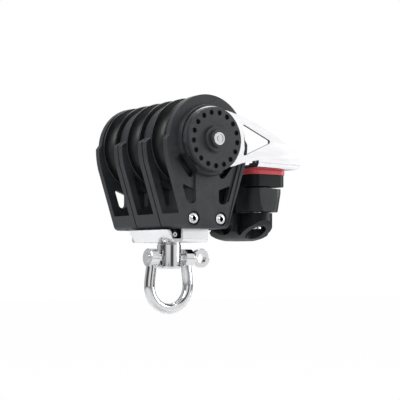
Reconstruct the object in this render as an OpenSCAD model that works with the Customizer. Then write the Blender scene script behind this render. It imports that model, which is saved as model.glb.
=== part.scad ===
// Triple ball-bearing block with a cam cleat, hung from a bow shackle.
// The axle runs along Y, the cleat lies toward +X and the shackle hangs at the bottom.
// The origin is the inside of the shackle's crown, under the middle of the axle.

/* [Sheaves] */
// Radius of the sheave rim
sheave_r = 28.5; // [27.5:0.5:28.5]
// Radius at the bottom of the rope groove
groove_bottom_r = 21.5; // [20:0.5:23]
// Width of the flat land on each rim
rim_land = 1.1; // [0.8:0.1:1.6]
// Gap between a sheave and each cheek
side_gap = 0.5; // [0.3:0.1:0.8]
// Radius of the sheave's bore
sheave_bore_r = 13.8; // [13.6:0.1:14.4]
// Radius of the inner race
hub_r = 9.4; // [9.2:0.1:9.6]
// Radius of one bearing ball
ball_r = 2.4; // [2.3:0.1:2.6]
// Balls in one row
ball_count = 14; // [8:1:14]
// Distance between the two rows of balls
ball_row_gap = 9; // [8:0.5:10]

/* [Cheeks] */
// Width of the bay between two cheeks
bay_w = 19.5; // [18:0.5:21]
// Thickness of an outer cheek
outer_t = 4.6; // [4.2:0.1:5.4]
// Thickness of an inner cheek
inner_t = 10.5; // [9:0.5:12]
// Radius of the round cheek head
head_r = 29.2; // [29.2:0.1:30]
// Half width of the cheek at the shoulder
shoulder_w = 31.3; // [31:0.1:32]
// Half width where the straight taper starts
taper_w = 29.5; // [29:0.1:30]
// Half width of the foot, at its corners
foot_w = 16.2; // [15.6:0.1:17]
// Depth of the foot below the axle
foot_z = 56.2; // [55.5:0.1:57]
// Radius of the foot's corners
foot_r = 4; // [3:0.5:5]
// Width of the raised rail along the sides
rail_w = 4.4; // [3.8:0.1:5]
// Depth of the recessed panel of an outer cheek
panel_depth = 0.8; // [0.5:0.1:1.2]
// Further depth of the struts
strut_depth = 1.2; // [0.8:0.1:1.6]
// Depth of the panel on each side of an inner cheek
inner_panel_depth = 3; // [2.5:0.1:3.5]
// Width of the groove round an inner cheek's edge
edge_groove_w = 1.1; // [0.8:0.1:1.6]
// Depth of the groove round an inner cheek's edge
edge_groove_d = 1.0; // [0.6:0.1:1.4]

/* [Feet and rivets] */
// Height of the spacer feet
spacer_h = 9.6; // [9.2:0.1:10.4]
// Distance from the middle to each lower rivet
rivet_x = 10.5; // [10.4:0.1:11]
// Depth of the lower rivets below the axle
rivet_z = 49.9; // [49.5:0.1:50.3]
// Radius of the lower rivets
rivet_r = 2.7; // [2.4:0.1:2.8]
// Radius of the bore in the rivets
rivet_bore_r = 1.5; // [1.2:0.1:1.8]
// Radius of the rivet heads
rivet_head_r = 3.5; // [3.3:0.1:3.9]
// Radius of the counterbore round a rivet head
counterbore_r = 4.6; // [4.4:0.1:5]
// Depth of the counterbore
counterbore_d = 1.8; // [1.2:0.1:2.4]

/* [Axle and discs] */
// Radius of the axle
axle_r = 5.0; // [4.6:0.1:5.4]
// Radius of the axle's polished end
axle_end_r = 4.4; // [4:0.1:4.6]
// Radius of the index disc
disc_r = 20.5; // [20:0.1:21.5]
// Thickness of the index disc
disc_t = 3.5; // [3:0.1:4]
// Number of index holes
index_count = 17; // [12:1:19]
// Radius of the ring of index holes
index_ring_r = 17.2; // [16.6:0.1:17.4]
// Radius of one index hole
index_hole_r = 1.5; // [1.2:0.1:1.6]
// Depth of the index holes
index_hole_d = 2.2; // [1.5:0.1:2.6]
// Radius of the disc's hub
disc_hub_r = 8.4; // [8:0.1:9]
// Height of the first step of the hub
disc_hub_h = 2.1; // [1.6:0.1:2.6]
// Radius of the hub's second step
disc_boss_r = 5.7; // [5.5:0.1:6.2]
// Height of the hub's second step
disc_boss_h = 1.9; // [1.5:0.1:2.4]

/* [Cleat arm] */
// Thickness of the steel sheet
arm_t = 2; // [1.6:0.1:2.4]
// Height of the boss that carries the arm, on the outer cheek
head_boss_h = 2.5; // [2:0.1:3]
// Radius of that boss
head_boss_r = 24; // [23.4:0.1:25]
// Radius of the arm's long convex back
arm_back_r = 150.5; // [149:0.5:152]
// Radius of the arm's outer corner
arm_tip_r = 17.3; // [15:0.1:19]
// Thickness of the washer under the arm
arm_washer_t = 0.3; // [0.2:0.1:0.6]
// Radius of the arm's eye
eye_r = 22.6; // [22.2:0.1:23]
// Where the web starts along X
web_x0 = 37; // [36:0.5:39]
// Where the web and the arm end along X
web_x1 = 71.8; // [71:0.1:75]
// Depth of the underside of the web below the axle
web_z = 15.4; // [15:0.1:16]
// Inner radius of the folds
fold_r = 1.2; // [0.8:0.1:2]

/* [Cleat] */
// Distance from the axle to the cam pivots along X
cleat_x = 58; // [57:0.5:59]
// Distance between the two cam pivots
pivot_gap = 38; // [37:0.5:40]
// Length of the cleat base along Y
base_l = 70; // [68:0.5:74]
// Width of the cleat base along X
base_w = 29; // [28:0.5:31]
// Radius of the base's corners
base_r = 6; // [4:0.5:8]
// Thickness of the riser plate
riser_t = 3; // [2:0.1:4]
// Thickness of the cleat base
base_t = 8; // [7:0.1:9]
// Gap between the base and the cams, filled by the thrust rings
bearing_t = 1.3; // [1:0.1:1.6]
// Height of the cams
cam_h = 15.5; // [14:0.5:17]
// Half width of a cam along X
cam_half_w = 13.8; // [13:0.1:14.4]
// Distance from the pivot to the cam's back
cam_back_y = 14.4; // [13.6:0.1:15]
// Radius of the cam's back corners
cam_corner_r = 7; // [5:0.5:9]
// Gap between the closed cams
cam_gap = 0.8; // [0.6:0.1:2]
// Growth of the spiral for each radian
cam_growth = 0.36; // [0.3:0.01:0.4]
// Teeth on one cam
cam_teeth = 9; // [7:1:10]
// Depth of the cam teeth
tooth_d = 0.9; // [0.6:0.1:1.1]
// Outer radius of the cam bushes
bush_r = 4; // [3.8:0.1:4.4]
// Running clearance of the cams on their bushes
run_gap = 0.05; // [0.03:0.01:0.08]
// Radius of the cleat screws
screw_r = 2.5; // [2.4:0.1:2.6]
// Radius of the screw heads
screw_head_r = 4.25; // [4:0.05:4.6]
// Height of the screw heads
screw_head_h = 4.6; // [4:0.1:5]
// Height of the nuts
nut_h = 3.4; // [3:0.1:4.5]
// Width of the nuts across their flats
nut_w = 8.8; // [8:0.1:9]

/* [Fairlead] */
// Radius of the fairlead's ends round the pivots
lobe_r = 11.3; // [11:0.1:12]
// Half width of the fairlead's middle along X
lead_w = 14; // [13:0.5:15]
// Depth of the fairlead's ends
lobe_h = 4.8; // [4.4:0.1:5.4]
// Full depth of the fairlead
lead_h = 18.8; // [18:0.1:20]
// Radius of the rope's way through
throat_r = 8; // [7:0.1:8.5]
// Radius of the pockets round the screw heads
pocket_r = 7; // [6.4:0.1:7.4]

/* [Head strap] */
// Thickness of the strap
strap_t = 2.2; // [1.8:0.1:2.4]
// Half width of the strap's legs below the feet
strap_w = 10; // [9:0.1:10.4]
// Depth of the strap's underside below the axle
strap_z = 64.6; // [64:0.1:66]
// Half length of the side wings
wing_l = 23.7; // [22:0.1:25]
// Half width at the wings' upper edges
wing_top_w = 17.4; // [17:0.1:18]
// Half width at the wings' lower edges
wing_low_w = 11.8; // [11.4:0.1:12.2]

/* [Swivel and shackle] */
// Radius of the swivel shank
shank_r = 5; // [4.6:0.1:5]
// Radius of the retaining collar
collar_r = 6.6; // [6.4:0.1:6.8]
// Height of the retaining collar
collar_h = 3; // [2.6:0.1:3.2]
// Radius of the boss at its top
boss_r = 8; // [7.6:0.1:8.4]
// Radius of the swivel post
post_r = 8; // [7.6:0.1:8.4]
// Depth of the shackle pin below the axle
pin_z = 74.8; // [74.6:0.1:75.4]
// Depth of the post's lower end below the axle
post_end_z = 82; // [81.5:0.1:83]
// Radius of the shackle pin
pin_r = 3; // [2.8:0.1:3.2]
// Radius of the shackle's rod
rod_r = 3.7; // [3.5:0.1:4]
// Radius of the bow, to the middle of the rod
bow_r = 14.7; // [14.4:0.1:15.2]
// Depth of the inside of the crown below the axle
crown_z = 105; // [104.5:0.1:107]
// Half width of the jaw, inside the ears
jaw_w = 10.5; // [10.2:0.1:10.8]
// Thickness of the ears
ear_t = 6.5; // [6:0.1:7]
// Radius of the ears
ear_r = 6.3; // [6:0.1:6.6]
// Outer radius of the pin's eye
eye_ring_r = 6.4; // [6:0.1:6.8]
// Radius of the hole in the pin's eye
eye_hole_r = 3.2; // [2.8:0.1:3.4]
// Thickness of the pin's eye
eye_ring_t = 4; // [3.4:0.1:4.4]

/* [Hidden] */
$fn = 64;

// A fixed part is this far off the part it sits round
fit_gap = 0.05;
// Cuts run this far past a face
past = 1;

pitch = bay_w + inner_t;
sheave_w = bay_w - 2 * side_gap;
inner_y = pitch / 2;
outer_in_y = 1.5 * bay_w + inner_t;
outer_out_y = outer_in_y + outer_t;
boss_y = outer_out_y + head_boss_h;
arm_in_y = boss_y + arm_washer_t;
arm_out_y = arm_in_y + arm_t;
disc_y = arm_out_y + disc_t;
axle_l = disc_y + disc_hub_h + disc_boss_h + 0.4;

taper_z = 14.5;
panel_low = foot_z - 12.4;
strut_low = 36;
corner_z = foot_z - foot_r;
taper_slope = (taper_w - foot_w) / (foot_z - 1.8 - taper_z);
race_r = (sheave_bore_r + hub_r) / 2;

arm_back_centre = [-16.7, -128.7];

riser_z = web_z + 0.1;
base_z = riser_z + riser_t;
cam_z = base_z + base_t + bearing_t;
lead_z = cam_z + cam_h + 0.8;
pivot_y = pivot_gap / 2;
cam_reach = pivot_y - cam_gap / 2;

boss_top = foot_z;
boss_low = strap_z - strap_t;
rod_z = crown_z + rod_r - bow_r;
ear_x = jaw_w + ear_t / 2;
ear_out = jaw_w + ear_t;
strap_foot_w = rivet_x + rivet_r + 1.4;

spring_wire_r = 0.5;
spring_mid_r = 5.4;
spring_out_r = spring_mid_r + spring_wire_r;
spring_room = 6;
cam_corner_out = norm([cam_half_w - cam_corner_r, cam_back_y - cam_corner_r]) + cam_corner_r + 0.3;
cam_near_angle = 90 - atan(cam_growth);
screw_head_z = lead_z + 6;

colour_black = [0.13, 0.14, 0.15];
colour_sheave = [0.08, 0.09, 0.10];
colour_steel = [0.80, 0.81, 0.83];
colour_race = [0.20, 0.21, 0.23];
colour_red = [0.80, 0.12, 0.14];

// Everything is drawn about the axle and lifted so that the crown's inside is the origin.
module lifted() {
  translate([0, 0, crown_z]) children();
}

// A flat outline in X and Z, thick from y0 to y1.
module plate(y0, y1) {
  translate([0, y1, 0]) rotate([90, 0, 0]) linear_extrude(y1 - y0) children();
}

// A solid of revolution about the axle's direction, drawn as radius against Y.
module around_axle() {
  rotate([-90, 0, 0]) rotate_extrude() children();
}

module tube(r, hole, h) {
  difference() {
    cylinder(r = r, h = h);
    translate([0, 0, -past]) cylinder(r = hole, h = h + 2 * past);
  }
}

// Half width of a cheek at a depth below the axle.
function side_w(d) =
  d < taper_z
    ? shoulder_w - (shoulder_w - taper_w) * pow((d - 1) / (taper_z - 1), 2)
    : taper_w - (d - taper_z) * taper_slope;

function side_points(inset, top, low, steps) =
  [for (i = [0 : steps]) let (d = top + (low - top) * i / steps) [side_w(d) - inset, -d]];

function both_sides(points) =
  concat(points, [for (i = [len(points) - 1 : -1 : 0]) [-points[i][0], points[i][1]]]);

// Points of an arc about a centre, from one angle to another.
function arc(centre, r, a0, a1, steps) =
  [for (i = [0 : steps]) let (a = a0 + (a1 - a0) * i / steps) centre + r * [cos(a), sin(a)]];

function unit(v) = v / norm(v);

// One corner of an outline, rounded between the corners before and after it.
function corner_arc(before, corner, after, r, steps) =
  let (
    u = unit(before - corner), v = unit(after - corner), half = acos(u * v) / 2,
    centre = corner + unit(u + v) * r / sin(half),
    from = corner + u * r / tan(half) - centre, to = corner + v * r / tan(half) - centre,
    a0 = atan2(from[1], from[0]), turn = atan2(to[1], to[0]) - a0
  )
  arc(centre, r, a0, a0 + (turn > 180 ? turn - 360 : turn < -180 ? turn + 360 : turn), steps);

// An outline with a radius for each corner.
function rounded(points, radii, steps = 5) =
  let (n = len(points))
  [for (i = [0 : n - 1])
    each corner_arc(points[(i + n - 1) % n], points[i], points[(i + 1) % n], radii[i], steps)];

// Outline of a cheek below its round head: shoulders, tapering sides and a round-cornered foot.
module side_outline() {
  corner_x = side_w(corner_z) - foot_r * sqrt(1 + taper_slope * taper_slope);
  polygon(both_sides(concat(
    [[head_r - 1.4, 2.2]],
    side_points(0, 1, taper_z, 4),
    arc([corner_x, -corner_z], foot_r, -atan(taper_slope), -90, 6)
  )));
}

module cheek_blank(y0, y1) {
  plate(y0, y1) side_outline();
  along_axle(head_r, y0, y1);
}

// The sunk panel between the rails.
module panel_outline() {
  top = side_w(taper_z) - rail_w;
  low = side_w(panel_low) - rail_w;
  polygon(rounded(
    [[top, -10], [low, -panel_low], [-low, -panel_low], [-top, -10]],
    [1, 3, 3, 1]
  ));
}

// Slanted slot partly under the arm's eye, and the window below it with a sloping top edge.
module windows() {
  for (s = [0, 1]) mirror([s, 0]) {
    polygon(rounded(
      [[22.9, -11.9], [17.0, -7.9], [6.6, -20.1], [12.6, -24.2]],
      [3.4, 3.4, 3.4, 3.4]
    ));
    polygon(rounded([[18.6, -28.2], [7.0, -31.9], [7.0, -41], [14.6, -41]], [1, 1, 3.7, 4.2]));
  }
}

// The struts lie between the rails and the middle spine, deeper than both.
module strut_outline() {
  for (s = [0, 1]) mirror([s, 0])
    polygon([
      [8.6, -16], [side_w(16) - rail_w, -16],
      [side_w(strut_low) - rail_w, -strut_low], [8.6, -strut_low]
    ]);
}

module rivet_holes(y0, y1, r) {
  for (s = [-1, 1])
    translate([s * rivet_x, y1, -rivet_z]) rotate([90, 0, 0]) cylinder(r = r, h = y1 - y0);
}

// A cylinder along Y, round the axle.
module along_axle(r, y0, y1) {
  translate([0, y1, 0]) rotate([90, 0, 0]) cylinder(r = r, h = y1 - y0, $fn = 128);
}

// An outer cheek, drawn for the -Y side: flat inside, rails and panel outside.
module outer_cheek() {
  floor_y = -outer_out_y + panel_depth;
  foot_bevel = head_boss_r + 1.8;
  difference() {
    union() {
      cheek_blank(-outer_out_y, -outer_in_y);
      around_axle() polygon([
        [axle_r + fit_gap, -outer_in_y - past], [axle_r + fit_gap, -boss_y], [head_boss_r, -boss_y],
        [foot_bevel, -outer_out_y], [foot_bevel, -outer_in_y - past]
      ]);
    }
    difference() {
      plate(-outer_out_y - past, floor_y) panel_outline();
      along_axle(foot_bevel, -outer_out_y - 2 * past, floor_y + past);
    }
    difference() {
      plate(-outer_out_y - past, floor_y + strut_depth) strut_outline();
      along_axle(foot_bevel, -outer_out_y - 2 * past, floor_y + strut_depth + past);
    }
    plate(-boss_y - past, -outer_in_y + past) windows();
    rivet_holes(-outer_out_y - past, -outer_in_y + past, rivet_r + fit_gap);
    rivet_holes(-outer_out_y - past, -outer_out_y + counterbore_d, counterbore_r);
    along_axle(axle_r + fit_gap, -boss_y - past, -outer_in_y + past);
  }
}

// An inner cheek, drawn for the -Y side: rails both sides and a groove round the edge.
module inner_cheek() {
  y0 = -inner_y - inner_t / 2;
  y1 = -inner_y + inner_t / 2;
  difference() {
    cheek_blank(y0, y1);
    plate(y0 - past, y0 + inner_panel_depth) inner_panel_outline();
    plate(y1 - inner_panel_depth, y1 + past) inner_panel_outline();
    plate(y0 - past, y1 + past) windows();
    plate(-inner_y - edge_groove_w / 2, -inner_y + edge_groove_w / 2) difference() {
      circle(r = 2 * foot_z);
      circle(r = head_r - edge_groove_d, $fn = 128);
      polygon(both_sides(side_points(edge_groove_d, 0, foot_z + past, 8)));
    }
    rivet_holes(y0 - past, y1 + past, rivet_r + fit_gap);
    along_axle(axle_r + fit_gap, y0 - past, y1 + past);
  }
}

// The panel of an inner cheek stays below the sheave's rim.
module inner_panel_outline() {
  difference() {
    panel_outline();
    circle(r = sheave_r + 0.6, $fn = 128);
  }
}

module front_cheek() {
  color(colour_black) lifted() outer_cheek();
}

module back_cheek() {
  color(colour_black) lifted() mirror([0, 1, 0]) outer_cheek();
}

module inner_front_cheek() {
  color(colour_black) lifted() inner_cheek();
}

module inner_back_cheek() {
  color(colour_black) lifted() mirror([0, 1, 0]) inner_cheek();
}

// A sheave at a place along the axle: rope groove outside, two ball tracks inside.
module sheave(y) {
  half = sheave_w / 2;
  groove_half = half - rim_land;
  groove_r = (pow(groove_half, 2) + pow(sheave_r - groove_bottom_r, 2)) / (2 * (sheave_r - groove_bottom_r));
  color(colour_sheave) lifted() translate([0, y, 0]) around_axle() difference() {
    translate([sheave_bore_r, -half]) square([sheave_r - sheave_bore_r, sheave_w]);
    translate([groove_bottom_r + groove_r, 0]) circle(r = groove_r, $fn = 96);
    for (s = [-1, 1]) translate([race_r, s * ball_row_gap / 2]) circle(r = ball_r + run_gap);
    for (s = [-1, 1]) translate([sheave_r - 4.6, s * (half + 0.01)]) rotate(45) square(1.2, center = true);
  }
}

// Inner race of one sheave bearing.
module hub(y) {
  half = bay_w / 2;
  color(colour_race) lifted() translate([0, y, 0]) around_axle() difference() {
    translate([axle_r + fit_gap, -half]) square([hub_r - axle_r - fit_gap, bay_w]);
    for (s = [-1, 1]) translate([race_r, s * ball_row_gap / 2]) circle(r = ball_r + run_gap);
  }
}

// Two rows of balls between the race and the sheave.
module balls(y) {
  color(colour_steel) lifted() for (s = [-1, 1], i = [0 : ball_count - 1])
    translate([0, y + s * ball_row_gap / 2, 0]) rotate([0, 360 * i / ball_count, 0])
      translate([race_r, 0, 0]) sphere(r = ball_r, $fn = 24);
}

module axle() {
  color(colour_steel) lifted() around_axle() polygon([
    [0, -axle_l], [axle_end_r - 0.5, -axle_l], [axle_end_r, -axle_l + 0.5],
    [axle_end_r, -disc_y], [axle_r, -disc_y], [axle_r, disc_y], [axle_end_r, disc_y],
    [axle_end_r, axle_l - 0.5], [axle_end_r - 0.5, axle_l], [0, axle_l]
  ]);
}

// Index disc, drawn for the -Y side, with its ring of blind holes and stepped hub.
module index_disc() {
  difference() {
    around_axle() polygon([
      [axle_r + fit_gap, -arm_out_y], [disc_r, -arm_out_y], [disc_r, -disc_y + 0.6],
      [disc_r - 0.6, -disc_y], [disc_hub_r, -disc_y], [disc_hub_r, -disc_y - disc_hub_h + 0.5],
      [disc_hub_r - 0.5, -disc_y - disc_hub_h], [disc_boss_r, -disc_y - disc_hub_h],
      [disc_boss_r, -disc_y - disc_hub_h - disc_boss_h + 0.3],
      [disc_boss_r - 0.3, -disc_y - disc_hub_h - disc_boss_h],
      [axle_end_r + fit_gap, -disc_y - disc_hub_h - disc_boss_h],
      [axle_end_r + fit_gap, -disc_y - fit_gap], [axle_r + fit_gap, -disc_y - fit_gap]
    ]);
    for (i = [0 : index_count - 1])
      rotate([0, -11.5 - 360 * i / index_count, 0])
        translate([0, -disc_y + index_hole_d, index_ring_r]) rotate([90, 0, 0])
          cylinder(r = index_hole_r, h = index_hole_d + past, $fn = 24);
  }
}

module front_disc() {
  color(colour_black) lifted() index_disc();
}

module back_disc() {
  color(colour_black) lifted() mirror([0, 1, 0]) index_disc();
}

// Foot of the cheeks, as a filled piece between y0 and y1.
module foot(y0, y1) {
  difference() {
    intersection() {
      plate(y0, y1) side_outline();
      translate([-foot_z, y0 - past, -foot_z - past]) cube([2 * foot_z, y1 - y0 + 2 * past, spacer_h + past]);
    }
    rivet_holes(y0 - past, y1 + past, rivet_r + fit_gap);
  }
}

module strap_pocket(s) {
  translate([-strap_foot_w - 0.2, s * pitch - strap_t / 2 - 0.1, -foot_z - past])
    cube([2 * strap_foot_w + 0.4, strap_t + 0.2, spacer_h + past - 1.2]);
}

module front_spacer_outer() {
  color(colour_black) lifted() difference() {
    foot(-outer_in_y, -pitch);
    strap_pocket(-1);
  }
}

module front_spacer_inner() {
  color(colour_black) lifted() difference() {
    foot(-pitch, -pitch + bay_w / 2);
    strap_pocket(-1);
  }
}

module back_spacer() {
  color(colour_black) lifted() difference() {
    foot(pitch - bay_w / 2, outer_in_y);
    strap_pocket(1);
  }
}

module middle_spacer() {
  color(colour_black) lifted() difference() {
    foot(-bay_w / 2, bay_w / 2);
    translate([0, 0, -foot_z - past]) cylinder(r = collar_r + 0.6, h = collar_h + 1 + past);
  }
}

module lower_rivets() {
  head_y = outer_out_y - 0.5;
  color(colour_steel) lifted() for (s = [-1, 1]) translate([s * rivet_x, 0, -rivet_z])
    around_axle() polygon([
      [rivet_bore_r, -head_y], [rivet_head_r - 0.4, -head_y], [rivet_head_r, -head_y + 0.4],
      [rivet_head_r, -outer_out_y + counterbore_d], [rivet_r, -outer_out_y + counterbore_d],
      [rivet_r, outer_out_y - counterbore_d], [rivet_head_r, outer_out_y - counterbore_d],
      [rivet_head_r, head_y - 0.4], [rivet_head_r - 0.4, head_y], [rivet_bore_r, head_y]
    ]);
}

module arm_washers() {
  color(colour_steel) lifted() for (s = [-1, 1])
    translate([0, s * (boss_y + arm_washer_t / 2), 0]) rotate([90, 0, 0])
      translate([0, 0, -arm_washer_t / 2]) tube(20, axle_r + fit_gap, arm_washer_t);
}

// Outline of one arm: round eye, long convex back and a corner that comes down to the web.
module arm_outline() {
  fold_top = -web_z + fold_r + arm_t;
  tip_end = 12;
  tip_centre = [web_x1 - arm_tip_r * cos(tip_end), fold_top - arm_tip_r * sin(tip_end)];
  circle(r = eye_r, $fn = 128);
  polygon(concat(
    [[0, 0]],
    arc(arm_back_centre, arm_back_r, 82, 58, 12),
    arc(tip_centre, arm_tip_r, 56, tip_end, 6),
    [[web_x0, fold_top], [web_x0, -11], [30.3, -12.3], [23.4, -13.8], [16.6, -16.1], [11.9, -17.7]]
  ));
}

// Three-sided lightening hole with round corners.
module arm_window() {
  polygon(rounded([[24.5, 10.5], [45, 1.5], [25.5, -7.5]], [2.5, 2.5, 2.5]));
}

// Section of the fold between an arm and the web, in Y and Z, for the +Y side.
module fold_section() {
  translate([arm_out_y - arm_t - fold_r, -web_z + arm_t + fold_r]) intersection() {
    difference() {
      circle(r = arm_t + fold_r);
      circle(r = fold_r);
    }
    translate([0, -arm_t - fold_r]) square(arm_t + fold_r);
  }
}

module cleat_arm() {
  flat_y = arm_out_y - arm_t - fold_r;
  color(colour_steel) lifted() difference() {
    union() {
      for (s = [0, 1]) mirror([0, s, 0]) {
        plate(arm_in_y, arm_out_y) difference() {
          arm_outline();
          arm_window();
        }
        translate([web_x0, 0, 0]) rotate([90, 0, 90]) linear_extrude(web_x1 - web_x0) fold_section();
      }
      translate([web_x0, -flat_y, -web_z]) cube([web_x1 - web_x0, 2 * flat_y, arm_t]);
    }
    translate([0, arm_out_y + past, 0]) rotate([90, 0, 0])
      cylinder(r = axle_r + fit_gap, h = 2 * (arm_out_y + past));
    for (s = [-1, 1]) translate([cleat_x, s * pivot_y, -web_z - past])
      cylinder(r = screw_r + 0.2, h = arm_t + 2 * past);
  }
}

// Round-cornered block of the cleat, with its two screw holes, hanging from a depth.
module cleat_block(top, t, grow, hole) {
  l = base_l / 2 + grow;
  w = base_w / 2 + grow;
  difference() {
    translate([cleat_x, 0, -top - t]) linear_extrude(t) union() {
      square([2 * w, 2 * (l - base_r)], center = true);
      square([2 * (w - base_r), 2 * l], center = true);
      for (sx = [-1, 1], sy = [-1, 1]) translate([sx * (w - base_r), sy * (l - base_r)]) circle(r = base_r);
    }
    for (s = [-1, 1]) translate([cleat_x, s * pivot_y, -top - t - past])
      cylinder(r = hole, h = t + 2 * past);
  }
}

module cleat_riser() {
  color(colour_red) lifted() cleat_block(riser_z, riser_t, 0.4, screw_r + 0.2);
}

module cleat_base() {
  color(colour_black) lifted() difference() {
    cleat_block(base_z, base_t, 0, screw_r + 0.2);
    translate([cleat_x - base_w, -5.5, -base_z - base_t - past]) cube([2 * base_w, 11, past + 1.2]);
    for (s = [-1, 1]) translate([cleat_x, s * pivot_y, -base_z - base_t - past])
      cylinder(r = bush_r + fit_gap, h = past + 3);
  }
}

// Spiral of the gripping face: the radius falls as the angle grows, and it comes nearest to the
// middle of the cleat at one angle.
function cam_face(a) =
  cam_reach / sin(cam_near_angle) * exp(-cam_growth * (a - cam_near_angle) * PI / 180);

// One tooth is a short rise and a steep fall along the spiral.
function cam_points(a0, a1, n) =
  [for (i = [0 : 2 * n]) let (a = a0 + (a1 - a0) * i / (2 * n))
    (cam_face(a) - (i % 2 == 1 ? tooth_d : 0)) * [cos(a), sin(a)]];

// Plan of one cam about its bush: toothed spiral in front, a smooth round-cornered back.
module cam_plan() {
  polygon(concat(
    cam_points(53, 140, cam_teeth),
    [[-cam_half_w, 4]],
    arc([-cam_half_w + cam_corner_r, -cam_back_y + cam_corner_r], cam_corner_r, 180, 270, 8),
    arc([cam_half_w - cam_corner_r, -cam_back_y + cam_corner_r], cam_corner_r, 270, 360, 8)
  ));
}

// A cam for the -Y pivot, its back slimmer toward the fairlead.
module cam_body() {
  low_r = cam_corner_out - 2.4;
  difference() {
    intersection() {
      translate([0, 0, -cam_h]) linear_extrude(cam_h) cam_plan();
      union() {
        translate([0, 0, -cam_h]) cylinder(r1 = low_r, r2 = cam_corner_out, h = cam_h, $fn = 96);
        translate([-2 * cam_half_w, 0, -cam_h]) cube([4 * cam_half_w, 40, cam_h]);
      }
    }
    translate([0, 0, -cam_h - past]) cylinder(r = bush_r + run_gap, h = cam_h + 2 * past);
    translate([0, 0, -spring_room]) cylinder(r = spring_out_r + 0.5, h = spring_room + past);
  }
}

// Closely wound return spring round a bush.
function helix_ring(a, r, wire, rise, sides) =
  [for (k = [0 : sides - 1]) let (b = 360 * k / sides)
    [(r + wire * cos(b)) * cos(a), (r + wire * cos(b)) * sin(a), rise * a / 360 + wire * sin(b)]];

module coil(r, wire, rise, turns, step, sides) {
  rings = turns * 360 / step;
  points = [for (i = [0 : rings]) each helix_ring(i * step, r, wire, rise, sides)];
  last = rings * sides;
  faces = concat(
    [[for (k = [0 : sides - 1]) k]],
    [for (i = [0 : rings - 1], k = [0 : sides - 1]) let (n = (k + 1) % sides)
      [i * sides + k, (i + 1) * sides + k, (i + 1) * sides + n, i * sides + n]],
    [[for (k = [sides - 1 : -1 : 0]) last + k]]
  );
  polyhedron(points = points, faces = faces, convexity = 8);
}

module at_pivot(s) {
  translate([cleat_x, s * pivot_y, -cam_z]) children();
}

module near_cam() {
  color(colour_race) lifted() at_pivot(-1) cam_body();
}

module far_cam() {
  color(colour_race) lifted() mirror([0, 1, 0]) at_pivot(-1) cam_body();
}

module cam_spring(s) {
  color(colour_steel) lifted() at_pivot(s) translate([0, 0, -5.2])
    coil(spring_mid_r, spring_wire_r, 1.15, 4, 24, 8);
}

// Steel bush from the base to the fairlead, which the screw clamps.
module bush(s) {
  color(colour_steel) lifted() translate([cleat_x, s * pivot_y, -lead_z])
    tube(bush_r, screw_r + 0.1, lead_z - base_z - base_t + 3);
}

module cam_bearings() {
  color(colour_race) lifted() for (s = [-1, 1])
    translate([cleat_x, s * pivot_y, -base_z - base_t - bearing_t + 0.05])
      tube(8.6, bush_r + fit_gap, bearing_t - 0.05);
}

module cleat_screws() {
  top = web_z - arm_t - nut_h - 2.6;
  color(colour_steel) lifted() for (s = [-1, 1]) translate([cleat_x, s * pivot_y, 0]) {
    translate([0, 0, -screw_head_z]) cylinder(r = screw_r, h = screw_head_z - top - 0.5);
    translate([0, 0, -top - 0.5]) cylinder(r1 = screw_r, r2 = screw_r - 0.5, h = 0.5);
    difference() {
      translate([0, 0, -screw_head_z - screw_head_h]) cylinder(r = screw_head_r, h = screw_head_h);
      translate([0, 0, -screw_head_z - screw_head_h - past]) cylinder(r = 2.3, h = 2.6 + past, $fn = 6);
    }
  }
}

module cleat_nuts() {
  color(colour_black) lifted() for (s = [-1, 1])
    translate([cleat_x, s * pivot_y, -web_z + arm_t]) difference() {
      union() {
        cylinder(r = 5.6, h = 0.9);
        translate([0, 0, 0.9]) cylinder(r = nut_w / sqrt(3), h = nut_h - 0.9, $fn = 6);
      }
      translate([0, 0, -past]) cylinder(r = screw_r + fit_gap, h = nut_h + 2 * past);
    }
}

// Rope guide under the cams: two round ends on the screws and a deep, flared throat between.
module fairlead() {
  low = lead_z + lead_h;
  flare = 5;
  color(colour_black) lifted() difference() {
    intersection() {
      translate([cleat_x, 0, -low]) linear_extrude(lead_h) union() {
        for (s = [-1, 1]) translate([0, s * pivot_y]) circle(r = lobe_r);
        translate([-lead_w, -pivot_y + 3]) square([2 * lead_w, 2 * (pivot_y - 3)]);
      }
      translate([0, 0, -lead_z]) rotate([90, 0, 90]) linear_extrude(cleat_x * 2) polygon([
        [-pivot_y - lobe_r, 0], [-pivot_y - lobe_r, -lobe_h], [-pivot_y - lobe_r + 3.4, -lobe_h - 3.6],
        [-13, -lead_h + 1.8], [-8, -lead_h], [8, -lead_h], [13, -lead_h + 1.8],
        [pivot_y + lobe_r - 3.4, -lobe_h - 3.6], [pivot_y + lobe_r, -lobe_h], [pivot_y + lobe_r, 0]
      ]);
    }
    translate([cleat_x, 0, -lead_z - lead_h + 5.6 + throat_r]) {
      rotate([0, 90, 0]) rotate_extrude() difference() {
        translate([0, -lead_w - past]) square([throat_r + flare, 2 * (lead_w + past)]);
        for (s = [-1, 1]) translate([throat_r + flare, s * (lead_w - flare)]) circle(r = flare);
        translate([throat_r, -lead_w + flare]) square([flare + past, 2 * (lead_w - flare)]);
      }
      translate([-lead_w - past, -throat_r, 0]) cube([2 * (lead_w + past), 2 * throat_r, lead_h]);
    }
    for (s = [-1, 1]) translate([cleat_x, s * pivot_y, 0]) {
      translate([0, 0, -low - past]) cylinder(r = pocket_r, h = low + past - screw_head_z);
      translate([0, 0, -low]) cylinder(r = screw_r + 0.15, h = low);
    }
  }
}

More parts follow.
